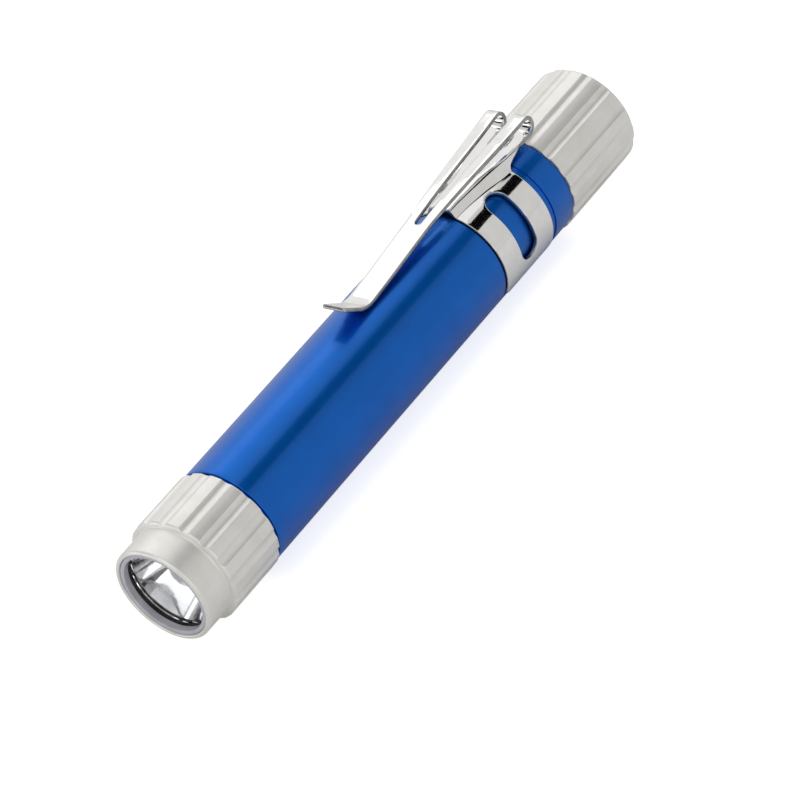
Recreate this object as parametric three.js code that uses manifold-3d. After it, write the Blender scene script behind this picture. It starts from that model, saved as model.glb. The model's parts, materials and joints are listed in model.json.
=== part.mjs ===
// A pocket penlight for one AAA cell: a blue anodised barrel between a fluted bezel and a fluted tail cap,
// with a reflector, lens and LED at the front, a push switch at the back and a sprung pocket clip.
// Millimetres, +Z up. It lies along X, lens towards -X and clip on top, resting on the ridges of its flutes.
// Stations run along the axis from the front rim. Angles run round the axis from the top towards -Y.

import * as THREE from 'three';
import { mergeVertices } from 'three/addons/utils/BufferGeometryUtils.js';
import Module from 'manifold-3d';

// Cell
const cellRadius = 5.15;
const cellBodyLength = 43.4;
const cellEdge = 0.4;
const cellNubRadius = 1.9;
const cellNubHeight = 0.9;
const cellClearance = 0.2;

// Fits
const fitGap = 0.15; // between stacked pieces
const pressGap = 0.25; // between pieces that the threads push together
const seamGap = 0.15; // between the barrel and the two ends screwed onto it

// Screw threads, right-handed, alike at both ends of the barrel
const threadPitch = 1.2;
const threadHeight = 0.5;
const threadClearance = 0.2;
const threadLead = 0.35;
const spigotWall = 0.4;
const spigotCoreWall = 0.25;
const headSpigot = 5.5;
const tailSpigot = 5.7;

// O-rings at the foot of each spigot
const sealSection = 0.6;
const sealSeat = 0.9;
const skirtLength = 1.2;
const skirtClearance = 0.1;

// Flutes of the bezel and the tail cap
const fluteCount = 16;
const fluteDepth = 0.35;
const gripWall = 0.55;
const gripProud = 0.2;
const gripChamfer = 0.45;
const seamChamfer = 0.25;

// Bezel
const ringLength = 4.2;
const ringInset = 0.75;
const ringWall = 0.65;
const ringRounding = 0.75;
const lipThickness = 0.9;
const lipDepth = 0.65;
const lipFlare = 0.15;

// Optics
const lensThickness = 1.0;
const lensClearance = 0.2;
const lensSealThickness = 0.5;
const lensSealWidth = 0.8;
const reflectorSkirt = 4.6;
const reflectorWall = 0.5;
const reflectorRim = 1.0;
const reflectorDepth = 6.6;
const ledRadius = 2.5;
const ledLength = 8.6;
const ledFlange = 0.4;
const ledFlangeLength = 1.0;
const ledRecess = 2.2;
const ledClearance = 0.25;

// LED module
const carrierLength = 8.6;
const carrierWall = 0.8;
const carrierFrontWall = 1.5;
const carrierLedgeDepth = 3.0;
const carrierLedge = 0.8;
const leadSize = 0.5;
const leadSpacing = 2.54;
const leadClearance = 0.3;
const boardThickness = 1.0;
const inductorRadius = 1.4;
const inductorHeight = 2.4;
const chipLength = 2.6;
const chipWidth = 1.8;
const chipHeight = 1.0;
const partOffset = 2.6;
const groundRingWidth = 1.2;
const groundRingThickness = 0.3;
const insulatorThickness = 1.0;
const contactStemRadius = 0.8;
const contactHeadRadius = 2.0;
const contactHeadThickness = 0.5;

// Rib inside the barrel between the LED module and the cell
const ribWidth = 1.1;
const ribDepth = 1.0;

// Tail contact spring
const tailSpringLength = 7.8;
const tailSpringTurns = 5;
const tailSpringWire = 0.6;
const tailSpringSmallRadius = 2.2;
const tailSpringLargeRadius = 3.6;

// Push switch
const switchSleeve = 8.35;
const switchFlange = 3.6;
const switchWall = 1.2;
const switchEndWall = 1.0;
const sleeveClearance = 0.3;
const fixedContactRadius = 2.4;
const fixedContactShank = 0.9;
const fixedContactHead = 0.6;
const movingContactThickness = 0.5;
const stemRadius = 1.5;
const pushRodRadius = 2.2;
const collarThickness = 1.0;
const switchSpringTurns = 6;
const switchSpringWire = 0.4;
const pressTravel = 1.2;
const retainingRingThickness = 0.8;

// Tail cap and rubber button
const cavityClearance = 0.1;
const cavityStep = 0.4;
const endWall = 1.8;
const endLip = 0.6;
const buttonClearance = 0.2;
const buttonFlange = 0.9;
const buttonRise = 2.7;
const buttonCrown = 1.7;
const buttonWall = 1.1;

// Clip, one spring-steel stamping
const clipSheet = 0.55;
const clipProud = 0.12;
const clipSeatFit = 0.1;
const clipSeatSpare = 1.0;
const bandOffset = 4.85;
const bandWidth = 10.55;
const bandWrap = THREE.MathUtils.degToRad(126);
const bandCorner = 1.0;
const bandSlotWidth = 3.3;
const bandSlotFrom = THREE.MathUtils.degToRad(26);
const bandSlotTo = THREE.MathUtils.degToRad(106);
const clipReach = 6.9;
const clipCapClearance = 0.25;
const clipBendRadius = 1.18;
const clipBendGap = 0.3;
const clipContactReach = 18.35;
const clipContactGap = 0.12;
const clipTipLength = 4.2;
const clipTipLift = 1.9;
const armTipHalf = 1.65;
const armNeckHalf = 1.8;
const armLoopHalf = 2.75;
const armSlotReach = 4.6;
const armSlotHalf = 0.45;
const loopSlotHalf = 1.1;
const strapFootHalf = 2.1;
const strapHalf = 2.9;
const strapRise = 1.2;
const strapInset = 0.1;

// Facets
const roundSteps = 32;
const smallSteps = 20;
const pinSteps = 12;
const threadSteps = 20;
const sectorStep = THREE.MathUtils.degToRad(9);
const arcSteps = 4;
const coilSteps = 8;
const coilSides = 5;
const turn = 2 * Math.PI;

// Radii that follow from the cell outwards
const boreRadius = cellRadius + cellClearance;
const spigotCore = boreRadius + spigotCoreWall;
const threadRoot = boreRadius + spigotWall;
const threadCrest = threadRoot + threadHeight;
const femaleRoot = threadRoot + threadClearance;
const femaleCrest = threadCrest + threadClearance;
const threadBore = femaleRoot + threadClearance / 4;
const skirtRadius = femaleCrest + skirtClearance;
const valleyRadius = femaleCrest + gripWall;
const ridgeRadius = valleyRadius + fluteDepth;
const barrelRadius = ridgeRadius - gripProud;
const ringRadius = ridgeRadius - ringInset;
const pocketRadius = ringRadius - ringWall;
const lipRadius = pocketRadius - lipDepth;
const lensRadius = pocketRadius - lensClearance;
const mouthRadius = lensRadius - reflectorRim;
const cavityRadius = threadBore - cavityClearance;
const chamberRadius = cavityRadius - cavityStep;
const buttonHole = chamberRadius - endLip;
const buttonRadius = buttonHole - buttonClearance;
const sleeveRadius = boreRadius - sleeveClearance;
const ribRadius = boreRadius - ribDepth;

// Stations that follow from the front rim backwards
const sealFront = lipThickness + fitGap;
const lensFront = sealFront + lensSealThickness + fitGap;
const lensBack = lensFront + lensThickness;
const reflectorFront = lensBack + fitGap;
const reflectorBack = reflectorFront + reflectorSkirt;
const barrelFront = reflectorBack + pressGap;
const headShoulder = barrelFront + headSpigot;
const bezelBack = headShoulder - seamGap;
const ledTip = lensBack + ledRecess;
const ledBase = ledTip + ledLength;
const carrierFront = ledBase + fitGap;
const carrierBack = carrierFront + carrierLength;
const boardFront = carrierFront + carrierLedgeDepth + fitGap;
const boardBack = boardFront + boardThickness;
const contactHeadBack = carrierBack + fitGap + contactHeadThickness;
const nubTip = contactHeadBack + fitGap;
const ribFront = carrierBack + pressGap;
const cellFront = Math.max(nubTip + cellNubHeight, ribFront + ribWidth + pressGap);
const cellBack = cellFront + cellBodyLength;
const tailSpringFront = cellBack + fitGap;
const tailSpringBack = tailSpringFront + tailSpringLength;
const fixedContactFront = tailSpringBack + fitGap;
const housingFront = fixedContactFront + fixedContactHead + fitGap;
const flangeFront = housingFront + switchSleeve;
const flangeBack = flangeFront + switchFlange;
const retainingFront = flangeFront - fitGap - retainingRingThickness;
const barrelBack = retainingFront - pressGap;
const tailShoulder = barrelBack - tailSpigot;
const capFront = tailShoulder + seamGap;
const capStep = flangeBack + fitGap;
const buttonFlangeFront = flangeBack + pressTravel + pressGap;
const endWallFront = buttonFlangeFront + buttonFlange + fitGap;
const capBack = endWallFront + endWall;
const buttonTop = capBack + buttonRise;
const bandBack = tailShoulder - bandOffset;
const bandFront = bandBack - bandWidth;
const clipApex = bandBack + clipReach;
const clipContact = bandFront - clipContactReach;

// One flute from ridge to ridge: share of the flute and share of its depth
const fluteShape = [[0.1, 0], [0.3, 0.75], [0.5, 1], [0.7, 0.75], [0.9, 0]];
const fluteAngle = turn / fluteCount;
const axisHeight = ridgeRadius * Math.cos((0.5 - fluteShape[0][0]) * fluteAngle);

const wasm = await Module();
wasm.setup();

// Solids and geometry

function toSolid(geometry) {
  geometry.deleteAttribute('normal');
  geometry.deleteAttribute('uv');
  const welded = mergeVertices(geometry, 1e-4);
  const corners = welded.index.array;
  const triangles = [];
  for (let i = 0; i < corners.length; i += 3) {
    const [a, b, c] = [corners[i], corners[i + 1], corners[i + 2]];
    if (a !== b && b !== c && c !== a) triangles.push(a, b, c);
  }
  const vertProperties = new Float32Array(welded.attributes.position.array);
  const triVerts = new Uint32Array(triangles);
  return new wasm.Manifold(new wasm.Mesh({ numProp: 3, vertProperties, triVerts }));
}

function toGeometry(solid) {
  const mesh = solid.getMesh();
  const geometry = new THREE.BufferGeometry();
  geometry.setAttribute('position', new THREE.BufferAttribute(mesh.vertProperties, 3));
  geometry.setIndex(new THREE.BufferAttribute(mesh.triVerts, 1));
  geometry.computeVertexNormals();
  return geometry;
}

function fromTriangles(points, triangles) {
  const geometry = new THREE.BufferGeometry();
  geometry.setAttribute('position', new THREE.Float32BufferAttribute(points.flat(), 3));
  geometry.setIndex(triangles.flat());
  return toSolid(geometry);
}

// A point at a station, a radius and a right-handed angle about +X
function aroundX(station, radius, angle) {
  return [station, radius * Math.cos(angle), radius * Math.sin(angle)];
}

// A body turned about the axis from [station, radius] points, outer wall towards the tail
function turned(profile, steps = roundSteps) {
  const outline = profile.map(([station, radius]) => new THREE.Vector2(radius, station));
  const startsOnAxis = outline[0].x === 0 && outline.at(-1).x === 0;
  if (!startsOnAxis) outline.push(outline[0].clone());
  return toSolid(new THREE.LatheGeometry(outline, steps).rotateZ(-Math.PI / 2));
}

function tube(front, back, inner, outer, steps = roundSteps) {
  return turned([[front, inner], [front, outer], [back, outer], [back, inner]], steps);
}

function rod(front, back, radius, steps = smallSteps) {
  return turned([[front, 0], [front, radius], [back, radius], [back, 0]], steps);
}

// Points of a quarter round between two [station, radius] corners, bulging towards the corner point
function rounded(from, corner, to) {
  const curve = new THREE.QuadraticBezierCurve(
    new THREE.Vector2(...from), new THREE.Vector2(...corner), new THREE.Vector2(...to));
  return curve.getPoints(arcSteps).map((point) => [point.x, point.y]);
}

function extrudedAlongX(shape, front, back) {
  const geometry = new THREE.ExtrudeGeometry(shape, { depth: back - front, bevelEnabled: false });
  return toSolid(geometry.rotateY(Math.PI / 2).translate(front, 0, 0));
}

function extrudedAcross(sideShape, halfWidth) {
  const geometry = new THREE.ExtrudeGeometry(sideShape, { depth: 2 * halfWidth, bevelEnabled: false });
  return toSolid(geometry.rotateX(Math.PI / 2).translate(0, halfWidth, 0));
}

function extrudedUp(planShape, low, high) {
  const geometry = new THREE.ExtrudeGeometry(planShape, { depth: high - low, bevelEnabled: false });
  return toSolid(geometry.translate(0, 0, low));
}

// A point of a section that is extruded along X, at an angle from the top
function sectionPoint(angle, radius) {
  return new THREE.Vector2(-radius * Math.cos(angle), -radius * Math.sin(angle));
}

function ringSector(inner, outer, from, to, front, back) {
  const steps = Math.ceil((to - from) / sectorStep);
  const angles = Array.from({ length: steps + 1 }, (_, i) => from + (i / steps) * (to - from));
  const outerArc = angles.map((angle) => sectionPoint(angle, outer));
  const innerArc = angles.map((angle) => sectionPoint(angle, inner)).reverse();
  return extrudedAlongX(new THREE.Shape([...outerArc, ...innerArc]), front, back);
}

function radialPin(angle, station, radius, inner, outer) {
  const pin = new THREE.CylinderGeometry(radius, radius, outer - inner, pinSteps);
  pin.translate(0, (inner + outer) / 2, 0);
  pin.rotateX(Math.PI / 2 + angle);
  return toSolid(pin.translate(station, 0, 0));
}

// A right-handed screw of whole turns, with its ridge a quarter of the pitch wide at the crest
function screw(front, turns, root, crest) {
  const profile = [[0, root], [0.25, crest], [0.5, crest], [0.75, root]];
  const count = turns * threadSteps;
  const points = [];
  const triangles = [];
  const sides = profile.length;
  const corner = (step, j) => (j < sides ? step : step + threadSteps) * sides + (j % sides);
  for (let step = 0; step <= count + threadSteps; step += 1) {
    const turned = step / threadSteps;
    for (const [share, radius] of profile) {
      points.push(aroundX(front + (turned + share) * threadPitch, radius, turned * turn));
    }
  }
  const frontCentre = points.length;
  points.push([front + threadPitch / 2, 0, 0]);
  const backCentre = points.length;
  points.push([front + (turns + 0.5) * threadPitch, 0, 0]);
  for (let step = 0; step < count; step += 1) {
    for (let j = 0; j < sides; j += 1) {
      const [a, b] = [corner(step, j), corner(step + 1, j)];
      const [c, d] = [corner(step + 1, j + 1), corner(step, j + 1)];
      triangles.push([a, b, c], [a, c, d]);
    }
  }
  for (let step = 0; step < threadSteps; step += 1) {
    triangles.push([frontCentre, corner(step + 1, 0), corner(step, 0)]);
    triangles.push([backCentre, corner(count + step, 0), corner(count + step + 1, 0)]);
  }
  for (let j = 0; j < sides; j += 1) {
    triangles.push([frontCentre, corner(0, j), corner(0, j + 1)]);
    triangles.push([backCentre, corner(count, j + 1), corner(count, j)]);
  }
  return fromTriangles(points, triangles);
}

// The stretch of a screw between two stations, cut from an endless one whose helix starts at origin
function threadBetween(front, back, origin, root, crest) {
  const start = origin + Math.floor((front - origin) / threadPitch - 2) * threadPitch;
  const turns = Math.ceil((back - start) / threadPitch) + 1;
  return screw(start, turns, root, crest).intersect(rod(front, back, crest + threadHeight));
}

function coil(front, back, startRadius, endRadius, turns, wire) {
  const points = [];
  const triangles = [];
  const count = turns * coilSteps;
  const half = wire / 2;
  const corner = (step, side) => step * coilSides + (side % coilSides);
  for (let step = 0; step <= count; step += 1) {
    const along = step / count;
    const station = front + half + along * (back - front - wire);
    const radius = startRadius + along * (endRadius - startRadius);
    for (let side = 0; side < coilSides; side += 1) {
      const lean = (side / coilSides) * turn;
      const [lift, spread] = [half * Math.sin(lean), half * Math.cos(lean)];
      points.push(aroundX(station + lift, radius + spread, along * turns * turn));
    }
  }
  for (let step = 0; step < count; step += 1) {
    for (let side = 0; side < coilSides; side += 1) {
      const [a, b] = [corner(step, side), corner(step + 1, side)];
      const [c, d] = [corner(step + 1, side + 1), corner(step, side + 1)];
      triangles.push([a, b, c], [a, c, d]);
    }
  }
  for (let side = 1; side < coilSides - 1; side += 1) {
    triangles.push([corner(0, 0), corner(0, side), corner(0, side + 1)]);
    triangles.push([corner(count, 0), corner(count, side + 1), corner(count, side)]);
  }
  return fromTriangles(points, triangles);
}

// Barrel

const headThreadFront = barrelFront + threadLead / 2;
const headThreadBack = headShoulder - sealSeat;
const tailThreadFront = tailShoulder + sealSeat;
const tailThreadBack = barrelBack - threadLead / 2;
const clipSeatRadius = barrelRadius + clipProud - clipSheet - clipSeatFit;
const clipSeatAngle = bandWrap + clipSeatFit;

// A threaded sleeve on a spigot, with both ends of its ridge led in by a cone
function maleThread(front, back, origin) {
  const sleeve = turned([
    [front, (boreRadius + spigotCore) / 2],
    [front, threadRoot],
    [front + threadLead, threadCrest + threadLead],
    [back - threadLead, threadCrest + threadLead],
    [back, threadRoot],
    [back, (boreRadius + spigotCore) / 2],
  ]);
  return threadBetween(front, back, origin, threadRoot, threadCrest).intersect(sleeve);
}

function makeBarrel() {
  const body = turned([
    [barrelFront, boreRadius],
    [barrelFront, spigotCore],
    [headShoulder, spigotCore],
    [headShoulder, barrelRadius - seamChamfer],
    [headShoulder + seamChamfer, barrelRadius],
    [tailShoulder - seamChamfer, barrelRadius],
    [tailShoulder, barrelRadius - seamChamfer],
    [tailShoulder, spigotCore],
    [barrelBack, spigotCore],
    [barrelBack, boreRadius],
    [ribFront + ribWidth, boreRadius],
    [ribFront + ribWidth, ribRadius],
    [ribFront, ribRadius],
    [ribFront, boreRadius],
  ]);
  const seat = ringSector(clipSeatRadius, ridgeRadius, -clipSeatAngle, clipSeatAngle,
    bandFront - clipSeatFit, bandBack + clipSeatSpare);
  const headThread = maleThread(headThreadFront, headThreadBack, headShoulder);
  const tailThread = maleThread(tailThreadFront, tailThreadBack, tailShoulder);
  return body.subtract(seat).add(headThread).add(tailThread);
}

function makeSealRing(station) {
  const inner = spigotCore + skirtClearance / 2;
  const middle = inner + sealSection / 2;
  const sides = 8;
  const section = Array.from({ length: sides }, (_, i) => {
    const lean = (-i / sides) * turn;
    return [station + (sealSection / 2) * Math.cos(lean), middle + (sealSection / 2) * Math.sin(lean)];
  });
  return turned(section, smallSteps);
}

// Bezel and tail cap

function makeFlutes(front, back) {
  const outline = [];
  for (let flute = 0; flute < fluteCount; flute += 1) {
    for (const [share, depth] of fluteShape) {
      outline.push(sectionPoint((flute + share - 0.5) * fluteAngle, ridgeRadius - depth * fluteDepth));
    }
  }
  return extrudedAlongX(new THREE.Shape(outline), front, back);
}

// Flutes between two stations, with cones that trim their ends to scallops
function makeGrip(front, back, frontChamfer, backChamfer) {
  const spare = fluteDepth;
  const envelope = turned([
    [front, 0],
    [front, ridgeRadius - frontChamfer],
    [front + frontChamfer + spare, ridgeRadius + spare],
    [back - backChamfer - spare, ridgeRadius + spare],
    [back, ridgeRadius - backChamfer],
    [back, 0],
  ]);
  return makeFlutes(front, back).intersect(envelope);
}

function makeBezel() {
  const ring = turned([
    [0, 0],
    ...rounded([0, ringRadius - ringRounding], [0, ringRadius], [ringRounding, ringRadius]),
    [ringLength + gripChamfer, ringRadius],
    [ringLength + gripChamfer, 0],
  ]);
  const grip = makeGrip(ringLength, bezelBack, gripChamfer, seamChamfer);
  const inside = turned([
    [-fitGap, 0],
    [-fitGap, lipRadius + lipFlare + fitGap],
    [lipFlare, lipRadius],
    [lipThickness, lipRadius],
    [lipThickness, pocketRadius],
    [barrelFront - pressGap / 2, pocketRadius],
    [barrelFront - pressGap / 2, threadBore],
    [bezelBack - skirtLength, threadBore],
    [bezelBack - skirtLength, skirtRadius],
    [bezelBack + fitGap, skirtRadius],
    [bezelBack + fitGap, 0],
  ]);
  const threadEnd = bezelBack - skirtLength / 2;
  const thread = threadBetween(barrelFront, threadEnd, headShoulder, femaleRoot, femaleCrest);
  return ring.add(grip).subtract(inside).subtract(thread);
}

function makeTailCap() {
  const grip = makeGrip(capFront, capBack, seamChamfer, gripChamfer);
  const threadEnd = barrelBack + pressGap / 2;
  const inside = turned([
    [capFront - fitGap, 0],
    [capFront - fitGap, skirtRadius],
    [capFront + skirtLength, skirtRadius],
    [capFront + skirtLength, threadBore],
    [threadEnd, threadBore],
    [threadEnd, cavityRadius],
    [capStep, cavityRadius],
    [capStep, chamberRadius],
    [endWallFront, chamberRadius],
    [endWallFront, buttonHole],
    [capBack + fitGap, buttonHole],
    [capBack + fitGap, 0],
  ]);
  const thread = threadBetween(capFront + skirtLength / 2, threadEnd, tailShoulder, femaleRoot, femaleCrest);
  return grip.subtract(inside).subtract(thread);
}

// Optics

function makeLens() {
  const edge = lensThickness / 5;
  return turned([
    [lensFront, 0],
    [lensFront, lensRadius - edge],
    [lensFront + edge, lensRadius],
    [lensBack - edge, lensRadius],
    [lensBack, lensRadius - edge],
    [lensBack, 0],
  ]);
}

// The cup's radius at a share of its depth: a parabola from the mouth to the hole for the LED
function cupRadius(share) {
  const holeRadius = ledRadius + ledClearance;
  return Math.sqrt(mouthRadius ** 2 + share * (holeRadius ** 2 - mouthRadius ** 2));
}

function makeReflector() {
  const steps = 5;
  const shares = Array.from({ length: steps + 1 }, (_, i) => i / steps);
  const cupBack = reflectorFront + reflectorDepth;
  const inside = shares.map((share) => [reflectorFront + share * reflectorDepth, cupRadius(share)]);
  const skirtInner = lensRadius - reflectorWall;
  const behindRim = reflectorFront + 2 * reflectorWall;
  const outside = shares
    .map((share) => [behindRim + share * (cupBack - behindRim), cupRadius(share) + reflectorWall])
    .filter(([, radius]) => radius < skirtInner - reflectorWall / 2);
  return turned([
    ...inside.reverse(),
    [reflectorFront, lensRadius],
    [reflectorBack, lensRadius],
    [reflectorBack, skirtInner],
    [behindRim, skirtInner],
    ...outside,
  ]);
}

function makeLed() {
  const domeSteps = 6;
  const dome = Array.from({ length: domeSteps }, (_, i) => {
    const lean = ((i / domeSteps) * Math.PI) / 2;
    return [ledTip + ledRadius * (1 - Math.cos(lean)), ledRadius * Math.sin(lean)];
  });
  return turned([
    ...dome,
    [ledTip + ledRadius, ledRadius],
    [ledBase - ledFlangeLength, ledRadius],
    [ledBase - ledFlangeLength, ledRadius + ledFlange],
    [ledBase, ledRadius + ledFlange],
    [ledBase, 0],
  ], smallSteps);
}

// LED module

const carrierRadius = boreRadius - fitGap;
const carrierInner = carrierRadius - carrierWall;
const groundGroove = carrierRadius - groundRingThickness;
const leadOffset = leadSpacing / 2;

function leadBox(front, back, size, side) {
  const box = new THREE.BoxGeometry(back - front, size, size);
  return toSolid(box.translate((front + back) / 2, side * leadOffset, 0));
}

function makeCarrier() {
  const ledge = carrierFront + carrierLedgeDepth;
  const body = turned([
    [carrierFront, 0],
    [carrierFront, carrierRadius],
    [boardFront, carrierRadius],
    [boardFront, groundGroove],
    [boardFront + groundRingWidth + fitGap, groundGroove],
    [boardFront + groundRingWidth + fitGap, carrierRadius],
    [carrierBack, carrierRadius],
    [carrierBack, carrierInner],
    [ledge, carrierInner],
    [ledge, carrierInner - carrierLedge],
    [carrierFront + carrierFrontWall, carrierInner - carrierLedge],
    [carrierFront + carrierFrontWall, 0],
  ], smallSteps);
  const holeBack = carrierFront + carrierFrontWall + fitGap;
  const hole = (side) => leadBox(carrierFront - fitGap, holeBack, leadSize + 2 * leadClearance, side);
  return body.subtract(hole(1)).subtract(hole(-1));
}

function makeInductor() {
  const waist = inductorRadius * 0.75;
  const cheek = inductorHeight / 4;
  const front = boardBack + fitGap;
  return turned([
    [front, 0],
    [front, inductorRadius],
    [front + cheek, inductorRadius],
    [front + cheek, waist],
    [front + inductorHeight - cheek, waist],
    [front + inductorHeight - cheek, inductorRadius],
    [front + inductorHeight, inductorRadius],
    [front + inductorHeight, 0],
  ], smallSteps);
}

function makePositiveContact() {
  const stemFront = boardBack + fitGap;
  return turned([
    [stemFront, 0],
    [stemFront, contactStemRadius],
    [carrierBack + fitGap, contactStemRadius],
    [carrierBack + fitGap, contactHeadRadius],
    [contactHeadBack, contactHeadRadius],
    [contactHeadBack, 0],
  ], smallSteps);
}

// Cell

function makeCell() {
  const shoulder = cellRadius - cellEdge;
  return turned([
    [nubTip, 0],
    [nubTip, cellNubRadius],
    [cellFront, cellNubRadius],
    ...rounded([cellFront, shoulder], [cellFront, cellRadius], [cellFront + cellEdge, cellRadius]),
    ...rounded([cellBack - cellEdge, cellRadius], [cellBack, cellRadius], [cellBack, shoulder]),
    [cellBack, 0],
  ], smallSteps);
}

// Push switch

const housingInner = sleeveRadius - switchWall;
const rearWallFront = flangeBack - switchEndWall;
const fixedContactBack = housingFront + switchEndWall + fitGap + fixedContactHead;
const movingContactFront = fixedContactBack + pressTravel + pressGap;
const collarBack = rearWallFront - pressGap;
const collarFront = collarBack - collarThickness;
const switchSpringRadius = housingInner - pressGap - switchSpringWire / 2;
const pushRodBack = capBack + buttonRise - buttonWall - fitGap;

function makeSwitchHousing() {
  return turned([
    [housingFront, fixedContactShank + fitGap],
    [housingFront, sleeveRadius],
    [flangeFront, sleeveRadius],
    [flangeFront, cavityRadius - fitGap],
    [flangeBack, cavityRadius - fitGap],
    [flangeBack, pushRodRadius + pressGap],
    [rearWallFront, pushRodRadius + pressGap],
    [rearWallFront, housingInner],
    [housingFront + switchEndWall, housingInner],
    [housingFront + switchEndWall, fixedContactShank + fitGap],
  ], smallSteps);
}

// A rivet through the housing's front wall
function makeFixedContact() {
  return turned([
    [fixedContactFront, 0],
    [fixedContactFront, tailSpringLargeRadius + tailSpringWire / 2],
    [fixedContactFront + fixedContactHead, tailSpringLargeRadius + tailSpringWire / 2],
    [fixedContactFront + fixedContactHead, fixedContactShank],
    [fixedContactBack - fixedContactHead, fixedContactShank],
    [fixedContactBack - fixedContactHead, fixedContactRadius],
    [fixedContactBack, fixedContactRadius],
    [fixedContactBack, 0],
  ], smallSteps);
}

function makePlunger() {
  const stemFront = movingContactFront + movingContactThickness + fitGap;
  return turned([
    [stemFront, 0],
    [stemFront, stemRadius],
    [collarFront, stemRadius],
    [collarFront, housingInner - pressGap],
    [collarBack, housingInner - pressGap],
    [collarBack, pushRodRadius],
    [pushRodBack, pushRodRadius],
    [pushRodBack, 0],
  ], smallSteps);
}

function makeButton() {
  const flangeOuter = chamberRadius - buttonClearance;
  const flangeEnd = buttonFlangeFront + buttonFlange;
  const crownFront = buttonTop - buttonCrown;
  const crownSteps = 4;
  const crown = Array.from({ length: crownSteps }, (_, i) => {
    const lean = ((i / crownSteps) * Math.PI) / 2;
    return [crownFront + buttonCrown * Math.sin(lean), buttonRadius * Math.cos(lean)];
  });
  return turned([
    [buttonFlangeFront, buttonRadius - buttonWall],
    [buttonFlangeFront, flangeOuter],
    [flangeEnd, flangeOuter],
    [flangeEnd, buttonRadius],
    ...crown,
    [buttonTop, 0],
    [buttonTop - buttonWall, 0],
    [buttonTop - buttonWall, pushRodRadius + buttonClearance],
    [crownFront - buttonWall / 2, buttonRadius - buttonWall],
  ]);
}

// Clip

const bandInner = clipSeatRadius + clipSeatFit;
const bandOuter = bandInner + clipSheet;
const strapTop = bandOuter + clipSheet / 4;
const strapLow = strapTop - clipSheet / 2;
const strapHigh = ridgeRadius + clipCapClearance + clipSheet / 2;
const bendStation = clipApex - clipBendRadius - clipSheet / 2;
const bendHeight = strapHigh + clipBendRadius;
const armLow = barrelRadius + clipContactGap + clipSheet / 2;
const armSlope = Math.atan2(strapHigh + 2 * clipBendRadius - armLow, bendStation - clipContact);
const bendHalfGap = clipBendGap / 2 / clipBendRadius;

function bendPoint(angle) {
  return new THREE.Vector2(
    bendStation + clipBendRadius * Math.cos(angle), bendHeight + clipBendRadius * Math.sin(angle));
}

function bendArc(from, to) {
  const steps = 7;
  return Array.from({ length: steps + 1 }, (_, i) => bendPoint(from + (i / steps) * (to - from)));
}

// The side outline of a sheet that follows a middle line
function sheetShape(middle) {
  const offsets = middle.map((point, i) => {
    const before = middle[Math.max(i - 1, 0)];
    const after = middle[Math.min(i + 1, middle.length - 1)];
    const heading = after.clone().sub(before).normalize();
    const into = point.clone().sub(before);
    const mitre = into.length() > 0 ? Math.max(into.normalize().dot(heading), 0.5) : 1;
    return new THREE.Vector2(-heading.y, heading.x).multiplyScalar(clipSheet / 2 / mitre);
  });
  const left = middle.map((point, i) => point.clone().add(offsets[i]));
  const right = middle.map((point, i) => point.clone().sub(offsets[i])).reverse();
  return new THREE.Shape([...left, ...right]);
}

function smoothLine(points, steps) {
  return new THREE.SplineCurve(points.map(([x, z]) => new THREE.Vector2(x, z))).getPoints(steps);
}

// A plan outline, mirrored about the middle, from [station, half width] points of one side
function planShape(side) {
  const near = side.map(([station, half]) => new THREE.Vector2(station, -half));
  const far = side.map(([station, half]) => new THREE.Vector2(station, half)).reverse();
  return new THREE.Shape([...near, ...far]);
}

const planLow = 0;
const planHigh = bendHeight + 2 * clipBendRadius;
const planEnd = clipApex + clipSheet;

function slotCut(slotFront, frontHalf, backHalf) {
  const round = Array.from({ length: arcSteps }, (_, i) => {
    const lean = (i / arcSteps) * (Math.PI / 2);
    return [slotFront + frontHalf * (1 - Math.cos(lean)), frontHalf * Math.sin(lean)];
  });
  const side = [
    ...round.slice(1),
    [slotFront + frontHalf, frontHalf],
    [bendStation, backHalf],
    [planEnd, backHalf],
  ];
  return extrudedUp(planShape(side), planLow, planHigh);
}

function makeBand() {
  let band = ringSector(bandInner, bandOuter, -bandWrap, bandWrap, bandFront, bandBack);
  const past = ridgeRadius + clipSheet;
  const cornerAngle = bandCorner / bandOuter;
  const slotAngle = bandSlotWidth / 2 / bandOuter;
  const slotMiddle = (bandFront + bandBack) / 2;
  for (const side of [-1, 1]) {
    const [near, far] = [side * (bandSlotFrom + slotAngle), side * (bandSlotTo - slotAngle)];
    const slot = ringSector(cellRadius, past, Math.min(near, far), Math.max(near, far),
      slotMiddle - bandSlotWidth / 2, slotMiddle + bandSlotWidth / 2)
      .add(radialPin(near, slotMiddle, bandSlotWidth / 2, cellRadius, past))
      .add(radialPin(far, slotMiddle, bandSlotWidth / 2, cellRadius, past));
    band = band.subtract(slot);
    for (const [edge, inward] of [[bandFront, 1], [bandBack, -1]]) {
      const centre = side * (bandWrap - cornerAngle);
      const end = side * (bandWrap + cornerAngle);
      const middle = edge + inward * bandCorner;
      const square = ringSector(cellRadius, past, Math.min(centre, end), Math.max(centre, end),
        Math.min(edge - inward, middle), Math.max(edge - inward, middle));
      band = band.subtract(square.subtract(radialPin(centre, middle, bandCorner, 0, past + clipSheet)));
    }
  }
  return band;
}

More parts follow.
